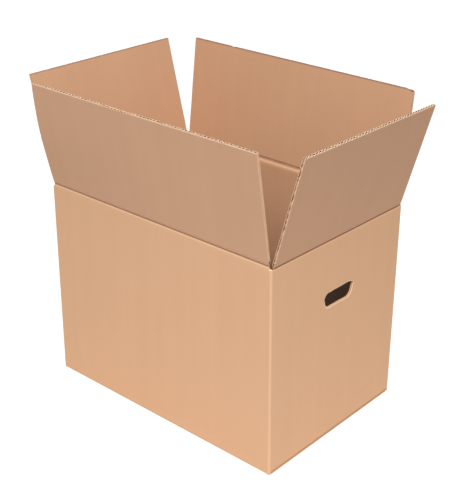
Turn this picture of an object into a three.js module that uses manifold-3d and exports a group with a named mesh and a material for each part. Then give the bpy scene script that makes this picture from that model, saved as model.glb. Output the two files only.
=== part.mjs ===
// Moving box: a slotted carton folded from one sheet of corrugated board.
// The four walls and the closed bottom are one folded solid. Each top flap turns about its own crease.
// Millimetres, +Z up. Origin at the middle of the base, on the floor. +X is along the long walls.

import * as THREE from 'three';
import * as BufferGeometryUtils from 'three/addons/utils/BufferGeometryUtils.js';
import Module from 'manifold-3d';

// Driving dimensions of the box
const LENGTH = 582; // outside, along X
const WIDTH = 400; // outside, along Y
const HEIGHT = 436; // floor to the crease of the long flaps
const BOARD = 5; // thickness of the corrugated board
const LONG_FLAP_DEPTH = 222; // crease to free edge of the front and back top flaps
const TOP_SLOT = 6; // from the box's corner to the end of a top flap

// Make-up of the board, seen at the flaps' free edges
const LINER = 0.6; // each face sheet
const MEDIUM = 0.5; // the fluted sheet between them
const FLUTE_PITCH = 8.6; // crest to crest
const FLUTE_REACH = 12; // how far the open flutes run in from a free edge
const FLUTE_MARGIN = 1; // board left beside the last flute
const FOOT_SHARE = 0.385; // half the width of an open flute at its foot, as a share of the pitch
const SHOULDER_SHARE = 0.125; // the same, at its shoulder
const SHOULDER_RISE = 0.83; // height of the shoulder, as a share of the crest's

// How far each open flap leans outwards from upright
const FRONT_LEAN_DEGREES = 10;
const BACK_LEAN_DEGREES = 6.5;
const RIGHT_LEAN_DEGREES = 15.5;
const LEFT_LEAN_DEGREES = 15;

// Creases
const CREASE_GAP = 0.2; // board to hinge line, on each side of a top crease
const FOLD_CLEARANCE = 0.5; // between two folded layers of board
const CORNER_RADIUS = 4; // outside of the upright folds
const INNER_CORNER_RADIUS = 1;
const BOTTOM_FOLD_RADIUS = 3.5; // outside of the bottom folds
const ARC_STEPS = 5; // chords in a quarter turn of a fold
const MITRE_REACH = 6; // how far in the mitre of a wall's top edge is cut, past the board's inner face

// Bottom flaps
const BOTTOM_SLOT = 2; // from the box's corner to the end of a long bottom flap
const POST_FOOT = 2.5; // floor to the foot of each corner between the bottom flaps
const SHORT_BOTTOM_FLAP_DEPTH = 196; // outside of the wall to the free edge
const MEETING_OFFSET = 3; // the long bottom flaps meet this far behind the middle
const MEETING_GAP = 1;

// Hand holes, one in each short wall
const HOLE_WIDTH = 82;
const HOLE_HEIGHT = 29;
const HOLE_DROP = 123; // crease of the short flap to the middle of the hole
const HOLE_ARC_STEPS = 16; // chords in each round end

// Glued seam inside the rear left corner
const TAB_WIDTH = 35;
const TAB_THICKNESS = 4; // the tab's board is crushed flat for the glue
const TAB_TAPER = 12; // rise of the tab's slanted ends
const TAB_CLEARANCE = 4; // tab to the closed flaps above and below it
const SEAM_WIDTH = 1;
const SEAM_DEPTH = 3;

// Worked out from the values above
const FOLD_STEP = BOARD + FOLD_CLEARANCE; // the short flaps fold one board lower than the long ones
const SHORT_CREASE = HEIGHT - FOLD_STEP;
const SHORT_FLAP_DEPTH = LONG_FLAP_DEPTH + FOLD_STEP; // the sheet is cut straight across all four flaps
const HALF_X = LENGTH / 2;
const HALF_Y = WIDTH / 2;
const FOLD_TOP = FOLD_STEP + 4 * BOARD; // the bent strips of the bottom reach up this far into the walls
const OVERCUT = 20; // how far a cutting body runs past what it cuts

const wasm = await Module();
wasm.setup();

const boardMaterial = new THREE.MeshStandardMaterial({ color: 0xcda27c, roughness: 0.88, metalness: 0 });
const insideMaterial = new THREE.MeshStandardMaterial({ color: 0xc49672, roughness: 0.9, metalness: 0 });

function toManifold( geometry ) {

	geometry.deleteAttribute( 'normal' );
	geometry.deleteAttribute( 'uv' );
	const merged = BufferGeometryUtils.mergeVertices( geometry, 1e-4 );
	return new wasm.Manifold( new wasm.Mesh( {
		numProp: 3,
		vertProperties: new Float32Array( merged.attributes.position.array ),
		triVerts: new Uint32Array( merged.index.array ),
	} ) );

}

function toGeometry( manifold ) {

	const mesh = manifold.getMesh();
	const geometry = new THREE.BufferGeometry();
	const positions = new Float32Array( mesh.vertProperties );
	geometry.setAttribute( 'position', new THREE.BufferAttribute( positions, 3 ) );
	geometry.setIndex( new THREE.BufferAttribute( new Uint32Array( mesh.triVerts ), 1 ) );
	geometry.computeVertexNormals();
	return geometry;

}

// A closed outline given a depth along Z, from z = 0
function extrude( shape, depth, curveSegments = ARC_STEPS ) {

	return new THREE.ExtrudeGeometry( shape, { depth, bevelEnabled: false, curveSegments } );

}

// Turns what was drawn in plan so that its own Y points up and its depth runs along -Y
function standUp( geometry ) {

	return geometry.rotateX( Math.PI / 2 );

}

// A closed outline extruded upwards from one height to another
function uprightPrism( shape, low, high ) {

	return toManifold( extrude( shape, high - low ).translate( 0, 0, low ) );

}

// An outline drawn as (distance outwards, height), carried along one side of the box.
// side is the quarter turn from the right-hand side: 0 right, 1 back, 2 left, 3 front.
function sidePrism( shape, side, halfRun ) {

	const geometry = standUp( extrude( shape, 2 * halfRun ).translate( 0, 0, - halfRun ) );
	return toManifold( geometry.rotateZ( side * Math.PI / 2 ) );

}

function block( x0, x1, y0, y1, z0, z1 ) {

	const geometry = new THREE.BoxGeometry( x1 - x0, y1 - y0, z1 - z0 );
	geometry.translate( ( x0 + x1 ) / 2, ( y0 + y1 ) / 2, ( z0 + z1 ) / 2 );
	return toManifold( geometry );

}

function polygon( points ) {

	return new THREE.Shape( points.map( ( [ x, y ] ) => new THREE.Vector2( x, y ) ) );

}

function roundedRectangle( halfX, halfY, radius ) {

	const shape = new THREE.Shape();
	shape.moveTo( halfX, - halfY + radius );
	shape.lineTo( halfX, halfY - radius );
	shape.absarc( halfX - radius, halfY - radius, radius, 0, Math.PI / 2 );
	shape.absarc( - halfX + radius, halfY - radius, radius, Math.PI / 2, Math.PI );
	shape.absarc( - halfX + radius, - halfY + radius, radius, Math.PI, 1.5 * Math.PI );
	shape.absarc( halfX - radius, - halfY + radius, radius, 1.5 * Math.PI, 2 * Math.PI );
	return shape;

}

// The four walls in plan: a tube with folded upright corners
function wallTube() {

	const low = FOLD_STEP + BOTTOM_FOLD_RADIUS;
	const outside = roundedRectangle( HALF_X, HALF_Y, CORNER_RADIUS );
	const inside = roundedRectangle( HALF_X - BOARD, HALF_Y - BOARD, INNER_CORNER_RADIUS );
	const core = uprightPrism( inside, low - OVERCUT, HEIGHT + OVERCUT );
	return uprightPrism( outside, low, HEIGHT ).subtract( core );

}

// The lower end of a wall and the bottom flap folded in from it, as one bent strip.
// low is the underside of the flap and tip is how far out from the middle its free edge lies.
function bottomFold( side, halfWidth, halfRun, low, tip ) {

	const shape = new THREE.Shape();
	const radius = BOTTOM_FOLD_RADIUS;
	shape.moveTo( halfWidth, FOLD_TOP );
	shape.lineTo( halfWidth - BOARD, FOLD_TOP );
	shape.lineTo( halfWidth - BOARD, low + BOARD );
	shape.lineTo( tip, low + BOARD );
	shape.lineTo( tip, low );
	shape.lineTo( halfWidth - radius, low );
	shape.absarc( halfWidth - radius, low + radius, radius, - Math.PI / 2, 0 );
	return sidePrism( shape, side, halfRun );

}

// The corner posts reach down between the bottom slots
function cornerPosts() {

	const outside = roundedRectangle( HALF_X, HALF_Y, CORNER_RADIUS );
	const arms = [ 1, - 1 ].flatMap( ( sx ) => [ 1, - 1 ].map( ( sy ) => {

		const x = [ sx * ( HALF_X - 2 * BOARD ), sx * ( HALF_X + OVERCUT ) ].sort( ( a, b ) => a - b );
		const y = [ sy * ( HALF_Y - BOARD ), sy * ( HALF_Y + OVERCUT ) ].sort( ( a, b ) => a - b );
		return block( ...x, ...y, POST_FOOT, FOLD_TOP );

	} ) );
	const corners = arms.reduce( ( all, arm ) => all.add( arm ) );
	return uprightPrism( outside, POST_FOOT, FOLD_TOP ).intersect( corners );

}

// Removes what lies above a wall's mitred top edge, which falls inwards at 45 degrees
// from the hinge line
function mitreCut( side, halfWidth, halfRun, crease ) {

	const edge = crease - CREASE_GAP;
	return sidePrism( polygon( [
		[ halfWidth, edge ],
		[ halfWidth + OVERCUT, edge ],
		[ halfWidth + OVERCUT, HEIGHT + OVERCUT ],
		[ halfWidth - MITRE_REACH, HEIGHT + OVERCUT ],
		[ halfWidth - MITRE_REACH, edge - MITRE_REACH ],
	] ), side, halfRun );

}

// A slot with round ends, cut through both short walls
function handHoles() {

	const radius = HOLE_HEIGHT / 2;
	const reach = HOLE_WIDTH / 2 - radius;
	const middle = SHORT_CREASE - HOLE_DROP;
	const shape = new THREE.Shape();
	shape.moveTo( - reach, - radius );
	shape.lineTo( reach, - radius );
	shape.absarc( reach, 0, radius, - Math.PI / 2, Math.PI / 2 );
	shape.absarc( - reach, 0, radius, Math.PI / 2, 1.5 * Math.PI );
	const run = LENGTH + 2 * OVERCUT;
	const geometry = standUp( extrude( shape, run, HOLE_ARC_STEPS ).translate( 0, 0, - run / 2 ) );
	return toManifold( geometry.rotateZ( Math.PI / 2 ).translate( 0, 0, middle ) );

}

// The back wall's glued tab, on the inner face of the left wall, with slanted ends
function glueTab() {

	const wallFace = - HALF_X + BOARD;
	const near = HALF_Y - BOARD;
	const far = near - TAB_WIDTH;
	const low = FOLD_STEP + BOARD + TAB_CLEARANCE;
	const high = SHORT_CREASE - BOARD - TAB_CLEARANCE;
	const outline = polygon( [
		[ near, low ],
		[ near, high ],
		[ far, high - TAB_TAPER ],
		[ far, low + TAB_TAPER ],
	] );
	const geometry = standUp( extrude( outline, TAB_THICKNESS ) ).rotateZ( Math.PI / 2 );
	return toManifold( geometry.translate( wallFace, 0, 0 ) );

}

// Outside the glued corner, the left wall's cut edge stops short behind the back wall's fold
function seamCut() {

	const edge = - HALF_X + BOARD;
	return block(
		edge - SEAM_WIDTH / 2, edge + SEAM_WIDTH / 2,
		HALF_Y - SEAM_DEPTH, HALF_Y + OVERCUT,
		- OVERCUT, HEIGHT + OVERCUT,
	);

}

function boxBody() {

	const meeting = - MEETING_OFFSET;
	let body = wallTube().add( cornerPosts() );
	body = body.add( bottomFold( 3, HALF_Y, HALF_X - BOTTOM_SLOT, 0, meeting + MEETING_GAP / 2 ) );
	body = body.add( bottomFold( 1, HALF_Y, HALF_X - BOTTOM_SLOT, 0, - meeting + MEETING_GAP / 2 ) );
	for ( const side of [ 0, 2 ] ) {

		const tip = HALF_X - SHORT_BOTTOM_FLAP_DEPTH;
		body = body.add( bottomFold( side, HALF_X, HALF_Y - TOP_SLOT, FOLD_STEP, tip ) );
		body = body.subtract( mitreCut( side, HALF_X, HALF_Y - BOARD, SHORT_CREASE ) );

	}

	for ( const side of [ 1, 3 ] ) {

		body = body.subtract( mitreCut( side, HALF_Y, HALF_X + OVERCUT, HEIGHT ) );

	}

	return body.add( glueTab() ).subtract( seamCut() ).subtract( handHoles() );

}

// The end of one open flute: a flat foot on a liner, under an arch of the fluted sheet.
// foot is the liner's face and rise is +1 or -1, the way the arch stands up from it.
function fluteEnd( middle, foot, rise ) {

	const crest = BOARD - 2 * LINER - MEDIUM;
	const footReach = FOOT_SHARE * FLUTE_PITCH;
	const shoulderReach = SHOULDER_SHARE * FLUTE_PITCH;
	const shoulder = foot + rise * SHOULDER_RISE * crest;
	return polygon( [
		[ middle - footReach, foot ],
		[ middle + footReach, foot ],
		[ middle + shoulderReach, shoulder ],
		[ middle, foot + rise * crest ],
		[ middle - shoulderReach, shoulder ],
	] );

}

// The open flutes along a free edge, standing by turns on the outer and the inner liner.
// What is left between them is the fluted sheet, winding from liner to liner.
function openFlutes( length, depth ) {

	const step = FLUTE_PITCH / 2;
	const room = length - 2 * ( FLUTE_MARGIN + FOOT_SHARE * FLUTE_PITCH );
	const count = Math.floor( room / step ) + 1;
	const flutes = Array.from( { length: count }, ( _, i ) => {

		const middle = ( i - ( count - 1 ) / 2 ) * step;
		const end = i % 2 ? fluteEnd( middle, LINER, 1 ) : fluteEnd( middle, BOARD - LINER, - 1 );
		return extrude( end, FLUTE_REACH + OVERCUT );

	} );
	const all = BufferGeometryUtils.mergeGeometries( flutes );
	all.translate( 0, 0, depth - FLUTE_REACH );
	return toManifold( all );

}

// A top flap in its own frame: hinge line along X, outer face at y = 0, inner face at y = BOARD,
// free edge up. Its lower edge is mitred at 45 degrees so that it can fold inwards to level.
function flapPanel( length, depth ) {

	const section = polygon( [
		[ 0, CREASE_GAP ],
		[ BOARD, CREASE_GAP + BOARD ],
		[ BOARD, depth ],
		[ 0, depth ],
	] );
	const panel = standUp( extrude( section, length ).translate( 0, 0, - length / 2 ) );
	return toManifold( panel.rotateZ( Math.PI / 2 ) ).subtract( openFlutes( length, depth ) );

}

// Sets a flap on its crease: turn is the direction it faces, counted from the front
function addFlap( box, name, turn, creaseDistance, creaseHeight, length, depth, lean ) {

	const side = new THREE.Group();
	side.rotation.z = THREE.MathUtils.degToRad( turn );
	const hinge = new THREE.Group();
	hinge.position.set( 0, - creaseDistance, creaseHeight );
	hinge.rotation.x = THREE.MathUtils.degToRad( lean );
	const flap = new THREE.Mesh( toGeometry( flapPanel( length, depth ) ), insideMaterial.clone() );
	flap.name = name;
	hinge.add( flap );
	side.add( hinge );
	box.add( side );

}

const movingBox = new THREE.Group();
movingBox.name = 'moving_box';

const body = new THREE.Mesh( toGeometry( boxBody() ), boardMaterial );
body.name = 'box_body';
movingBox.add( body );

const longFlap = [ HALF_Y, HEIGHT, LENGTH - 2 * TOP_SLOT, LONG_FLAP_DEPTH ];
const shortFlap = [ HALF_X, SHORT_CREASE, WIDTH - 2 * TOP_SLOT, SHORT_FLAP_DEPTH ];
addFlap( movingBox, 'front_flap', 0, ...longFlap, FRONT_LEAN_DEGREES );
addFlap( movingBox, 'right_flap', 90, ...shortFlap, RIGHT_LEAN_DEGREES );
addFlap( movingBox, 'back_flap', 180, ...longFlap, BACK_LEAN_DEGREES );
addFlap( movingBox, 'left_flap', 270, ...shortFlap, LEFT_LEAN_DEGREES );

export default movingBox;
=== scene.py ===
"""Looks of a moving box: a slotted corrugated carton whose four top flaps stand open.

Lengths are written in millimetres and become metres when a mesh is made. Z is up, the origin is at
the middle of the base, and +X runs along the long walls. The walls are numbered counter-clockwise
seen from above: right, back, left, front. A point of a wall or flap is given by its place along the
wall, by its depth into the board from the outer face, and by its height.
"""

from __future__ import annotations

import logging
from dataclasses import dataclass, field
from enum import Enum, IntEnum
from math import cos, pi, radians, sin

import bpy
import numpy as np
from mathutils import Matrix, Vector
from numpy.typing import NDArray

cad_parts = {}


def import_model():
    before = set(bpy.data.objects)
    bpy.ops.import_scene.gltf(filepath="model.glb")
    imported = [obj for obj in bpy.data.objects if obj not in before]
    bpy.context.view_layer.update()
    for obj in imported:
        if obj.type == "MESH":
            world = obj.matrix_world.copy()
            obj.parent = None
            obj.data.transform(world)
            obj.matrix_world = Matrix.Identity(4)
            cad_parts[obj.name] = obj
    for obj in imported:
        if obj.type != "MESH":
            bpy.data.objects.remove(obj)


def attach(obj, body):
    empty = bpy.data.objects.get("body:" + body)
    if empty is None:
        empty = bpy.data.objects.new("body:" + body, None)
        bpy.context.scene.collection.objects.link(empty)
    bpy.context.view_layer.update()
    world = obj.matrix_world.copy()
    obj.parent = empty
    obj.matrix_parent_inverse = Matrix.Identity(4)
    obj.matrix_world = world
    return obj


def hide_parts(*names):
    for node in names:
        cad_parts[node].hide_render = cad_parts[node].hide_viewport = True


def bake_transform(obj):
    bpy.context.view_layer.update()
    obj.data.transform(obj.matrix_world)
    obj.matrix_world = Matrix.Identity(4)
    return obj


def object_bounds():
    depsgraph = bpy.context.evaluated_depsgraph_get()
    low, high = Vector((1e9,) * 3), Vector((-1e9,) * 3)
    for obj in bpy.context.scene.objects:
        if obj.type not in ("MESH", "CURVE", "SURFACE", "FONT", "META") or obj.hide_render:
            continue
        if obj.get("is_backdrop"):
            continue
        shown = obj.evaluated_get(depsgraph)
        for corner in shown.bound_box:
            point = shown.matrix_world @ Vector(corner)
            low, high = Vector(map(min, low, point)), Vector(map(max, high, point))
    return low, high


log = logging.getLogger("moving_box")

Array = NDArray[np.float64]

MM = 0.001
WELD = 1e-6  # metres within which two points are one
NEAR = 1e-6  # millimetres within which two places are one
SHARP = radians(38)  # a fold sharper than this shows as an edge

# The box, as in the frame
LENGTH = 582.0
WIDTH = 400.0
HEIGHT = 436.0
PERIMETER = 2 * (LENGTH + WIDTH)
BOARD = 5.0
FOLD_STEP = 5.5  # the short flaps fold this much further in than the long ones
SHORT_CREASE = HEIGHT - FOLD_STEP
LONG_DEPTH = 222.0
SHORT_DEPTH = LONG_DEPTH + FOLD_STEP
TOP_SLOT = 6.0  # from the box's corner to the end of a top flap
CORNER_RADIUS = 4.0
INNER_RADIUS = 1.0
FOLD_RADIUS = 3.5  # outside of a long bottom flap's fold
SHORT_FOLD_RADIUS = 1.2  # and of a short one's
HOLE_WIDTH = 82.0
HOLE_HEIGHT = 29.0
HOLE_Z = 307.5
HOLE_RADIUS = HOLE_HEIGHT / 2
HOLE_REACH = HOLE_WIDTH / 2 - HOLE_RADIUS  # from the middle of the hole to that of a round end
LINER = 0.55  # thickness of each face sheet
MEDIUM = 0.6  # and of the fluted sheet between them
FLUTE = 8.6  # from crest to crest

# The pressed crease line between a wall and its top flap
LIP = 2.0  # the crease is pressed flat this far above and below the hinge line
LIP_OUTER = 0.8  # depth of the pressed board's outer and inner side
LIP_INNER = 1.9
OUTER_EASE = 4.6  # the outer face is flat again this far from the hinge line
WALL_EASE = 7.5  # the wall's inner face likewise
FLAP_EASE = 5.2  # and the flap's
LONG_SCORE = 0.8  # width of the painted shade line along a long crease
SHORT_SCORE = 1.25  # and along a short one

# Painted shade: the inner face is darker towards the bottom of the box
DEEP_SHADE = 0.6
CORNER_SHADE = 0.34  # how much darker still the painted shade is towards the right wall
DEEP_FROM = 224.0  # height at which the shade starts
DEEP_TO = 168.0  # height at which it is full
DEEP_RISE = 48.0  # the shade reaches this much higher towards the right wall
RISE_WIDTH = 90.0  # over this distance right of the middle

# How fine the paper's patterns are, in turns to the metre along the sheet, up it and off it
FIBRES = (260.0, 1500.0, 1.0)
FLECKS = (900.0, 2600.0, 1.0)
BLOTCHES = (9.0, 5.0, 1.0)
BANDS = (38.0, 0.7, 1.0)
PATCHES = (22.0, 9.0, 1.0)

# Added to a flap's seed, so that each of its layers is rough in its own way
INNER_LINER_SEED = 20
MEDIUM_SEED = 40
WEB_SEED = 60
TEAR_SEED = 70


class Wall(IntEnum):
    """The four walls, counter-clockwise."""

    RIGHT = 0
    BACK = 1
    LEFT = 2
    FRONT = 3

    @property
    def is_short(self) -> bool:
        """True for the two short walls, which have the hand holes."""
        return self in (Wall.RIGHT, Wall.LEFT)

    @property
    def out(self) -> float:
        """Distance from the middle of the box to the wall's outer face."""
        return (LENGTH if self.is_short else WIDTH) / 2

    @property
    def run(self) -> float:
        """Half the wall's length between the box's corners."""
        return (WIDTH if self.is_short else LENGTH) / 2

    @property
    def crease(self) -> float:
        """Height of the wall's top crease."""
        return SHORT_CREASE if self.is_short else HEIGHT

    @property
    def floor(self) -> float:
        """Underside of the wall's bottom flap."""
        return FOLD_STEP if self.is_short else 0.0

    @property
    def start(self) -> float:
        """Where the wall's middle lies along the sheet, measured round the box."""
        return float(self) * PERIMETER / 4

    def place(self, along: Array, out: Array, height: Array) -> Array:
        """Turns places on this wall into points of the box.

        Args:
            along: distance along the wall from its middle.
            out: distance from the middle of the box, square to the wall.
            height: distance above the floor.

        Returns:
            The points, with x, y and z on the last axis.
        """
        along, out, height = np.broadcast_arrays(along, out, height)
        angle = (int(self) + 1) * pi / 2
        x = along * cos(angle) + out * sin(angle)
        y = along * sin(angle) - out * cos(angle)
        return np.stack([x, y, height], axis=-1)


class Face(Enum):
    """Which face of the board a patch shows; the value is its material's place."""

    OUTSIDE = 0
    INSIDE = 1
    CUT = 2


def smooth(value: Array, low: float, high: float) -> Array:
    """Rises from 0 at low to 1 at high as 3t^2 - 2t^3."""
    t = np.clip((value - low) / (high - low), 0.0, 1.0)
    return t * t * (3 - 2 * t)


def spread(*stops: tuple[float, float]) -> Array:
    """Positions from stop to stop.

    Args:
        stops: pairs of a position and the largest step up to it from the stop before.

    Returns:
        Rising positions that hold every stop.
    """
    parts = [np.array([stops[0][0]])]
    for (low, _), (high, step) in zip(stops, stops[1:]):
        count = max(1, round((high - low) / step))
        parts.append(np.linspace(low, high, count + 1)[1:])
    return np.concatenate(parts)


def ragged(position: Array, seed: int, step: float, amount: float) -> Array:
    """A rough line: squares of seeded numbers, one each step, joined by straight lines.

    Args:
        position: places along the line.
        seed: seed of the numbers.
        step: distance between them.
        amount: greatest height.

    Returns:
        The line's height at each place.
    """
    knots = np.arange(position.min() - step, position.max() + 2 * step, step)
    heights = np.random.default_rng(seed).random(len(knots)) ** 2 * amount
    return np.interp(position, knots, heights)


@dataclass
class Surface:
    """A piece's surface, gathered patch by patch and made into one mesh."""

    name: str
    points: list[Array] = field(default_factory=list)
    quads: list[Array] = field(default_factory=list)
    sheet: list[Array] = field(default_factory=list)
    wear_and_painted_light: list[Array] = field(default_factory=list)
    faces: list[Array] = field(default_factory=list)
    count: int = 0

    def grid(
        self,
        points: Array,
        sheet: Array,
        face: Face,
        wear_and_painted_light: Array | float = 0.0,
        keep: NDArray[np.bool_] | None = None,
        flip: bool = False,
    ) -> None:
        """Adds a patch whose points lie in rows and columns.

        Args:
            points: (rows, columns, 3) points in millimetres.
            sheet: (rows, columns, 2) places on the flat sheet, in millimetres.
            face: the face of the board that the patch shows.
            wear_and_painted_light: cut edges and painted highlights above 0, painted shade below.
            keep: (rows - 1, columns - 1) cells to keep; all where left out.
            flip: turns the faces round.
        """
        rows, columns = points.shape[:2]
        index = np.arange(rows * columns).reshape(rows, columns) + self.count
        around = [index[:-1, :-1], index[:-1, 1:], index[1:, 1:], index[1:, :-1]]
        quads = np.stack(around[::-1] if flip else around, axis=-1)
        quads = quads.reshape(-1, 4) if keep is None else quads[keep]
        self.points.append(points.reshape(-1, 3))
        self.sheet.append(np.broadcast_to(sheet, (rows, columns, 2)).reshape(-1, 2))
        self.wear_and_painted_light.append(np.broadcast_to(wear_and_painted_light, (rows, columns)).reshape(-1))
        self.quads.append(quads)
        self.faces.append(np.full(len(quads), face.value))
        self.count += rows * columns

    def rim(
        self,
        sides: list[Array],
        sheet: Array,
        face: Face,
        wear_and_painted_light: float = 0.0,
        flip: bool = False,
    ) -> None:
        """Joins two patches of one shape along their four edges.

        Args:
            sides: the (rows, columns, 3) points of both patches.
            sheet: (rows, columns, 2) places on the flat sheet, for both.
            face: the face of the board that the rim shows.
            wear_and_painted_light: cut edges and painted highlights above 0, painted shade below.
            flip: turns the faces round.
        """
        whole, back = slice(None), slice(None, None, -1)
        for cells in ((0, whole), (whole, -1), (-1, back), (back, 0)):
            edge = np.stack([side[cells] for side in sides])
            self.grid(edge, sheet[cells], face, wear_and_painted_light, flip=flip)

    def build(self, materials: list[bpy.types.Material]) -> bpy.types.Object:
        """Welds the patches where they meet and makes the object.

        Args:
            materials: the materials, in the order of the faces of the board.

        Returns:
            The object, linked to the scene.
        """
        points = np.concatenate(self.points) * MM
        quads = np.concatenate(self.quads)
        sheet = np.concatenate(self.sheet) * MM
        wear_and_painted_light = np.concatenate(self.wear_and_painted_light)
        cells = np.round(points / WELD).astype(np.int64)
        _, first, place = np.unique(cells, axis=0, return_index=True, return_inverse=True)
        welded = place.reshape(-1)[quads]
        used, corners = np.unique(welded, return_inverse=True)
        corners = corners.reshape(welded.shape)
        mesh = bpy.data.meshes.new(self.name)
        mesh.from_pydata(points[first[used]].tolist(), [], corners.tolist())
        for material in materials:
            mesh.materials.append(material)
        mesh.polygons.foreach_set("material_index", np.concatenate(self.faces).astype(np.int32))
        layer = mesh.uv_layers.new(name="sheet")
        layer.data.foreach_set("uv", sheet[quads].astype(np.float32).ravel())
        # the attribute carries light cut edges, painted highlights and painted shade
        worn_and_painted_light = mesh.attributes.new("wear_and_painted_light", "FLOAT", "CORNER")
        worn_and_painted_light.data.foreach_set("value", wear_and_painted_light[quads].astype(np.float32).ravel())
        mesh.shade_smooth()
        mesh.set_sharp_from_angle(angle=SHARP)
        mesh.validate()
        obj = bpy.data.objects.new(self.name, mesh)
        bpy.context.scene.collection.objects.link(obj)
        log.info("%s: %d faces", self.name, len(mesh.polygons))
        return obj


@dataclass(frozen=True)
class Kraft:
    """A finish of unbleached paper, told by its colour and by how it varies.

    The colour is scaled by one plus fine fibres, wide mottling and, where the fluted sheet shows
    through the liner, faint stripes at the flutes' pitch.
    """

    name: str
    colour: tuple[int, int, int]
    # colour of light cut edges and painted highlights, where the attribute is above 0
    worn_and_painted_light: tuple[int, int, int]
    # painted shade colour, where the attribute is below 0
    pressed: tuple[int, int, int]
    fibre: float = 0.1
    mottle: float = 0.06
    band: float = 0.05
    stripe: float = 0.008
    relief: float = 0.09
    roughness: float = 0.88

    def material(self) -> bpy.types.Material:
        """Makes the material.

        Returns:
            The material, which reads the sheet's UV map and the wear_and_painted_light attribute.
        """
        graph = Graph(self.name)
        sheet = graph.node("ShaderNodeUVMap", uv_map="sheet").outputs["UV"]
        fibres = graph.noise(sheet, FIBRES, 3.0)
        fleck = graph.noise(sheet, FLECKS, 2.0)
        blotch = graph.noise(sheet, BLOTCHES, 4.0)
        across = graph.node("ShaderNodeSeparateXYZ", Vector=sheet).outputs["X"]
        turns = graph.maths("MULTIPLY", across, 2 * pi / (FLUTE * MM))
        wave = graph.maths("SINE", turns)
        patchy = graph.maths("MULTIPLY", wave, graph.noise(sheet, PATCHES, 2.0))
        bands = graph.noise(sheet, BANDS, 1.0)
        level = graph.sum(
            [
                (fibres, self.fibre),
                (fleck, self.fibre * 0.8),
                (blotch, self.mottle),
                (bands, self.band),
            ],
            1.0 - 0.5 * (1.8 * self.fibre + self.mottle + self.band),
        )
        level = graph.maths("ADD", level, graph.maths("MULTIPLY", patchy, self.stripe))
        wear_and_painted_light = graph.node("ShaderNodeAttribute", attribute_name="wear_and_painted_light").outputs["Fac"]
        # above 0 the colour goes towards that of cut edges and painted highlights, below 0 towards
        # the painted shade colour
        tone = graph.mix(graph.maths("MAXIMUM", wear_and_painted_light, 0.0), linear(self.colour), linear(self.worn_and_painted_light))
        dark = graph.maths("MAXIMUM", graph.maths("MULTIPLY", wear_and_painted_light, -1.0), 0.0)
        tone = graph.mix(dark, tone, linear(self.pressed))
        colour = graph.node("ShaderNodeVectorMath", operation="SCALE", Vector=tone, Scale=level)
        height = graph.sum([(fibres, 0.35), (fleck, 0.25), (patchy, 0.22)], 0.0)
        bump = graph.node("ShaderNodeBump", Strength=self.relief, Distance=0.0004, Height=height)
        shader = graph.node(
            "ShaderNodeBsdfPrincipled",
            **{
                "Base Color": colour.outputs["Vector"],
                "Roughness": self.roughness,
                "Specular IOR Level": 0.25,
                "Normal": bump.outputs["Normal"],
            },
        )
        graph.surface(shader.outputs["BSDF"])
        return graph.material


def linear(colour: tuple[int, int, int]) -> tuple[float, float, float, float]:
    """Turns a display colour into the linear colour that a shader takes.

    Args:
        colour: red, green and blue from 0 to 255.

    Returns:
        Red, green, blue and an alpha of 1.
    """
    share = np.array(colour) / 255
    low, high = share / 12.92, ((share + 0.055) / 1.055) ** 2.4
    return (*np.where(share <= 0.04045, low, high).tolist(), 1.0)


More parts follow.
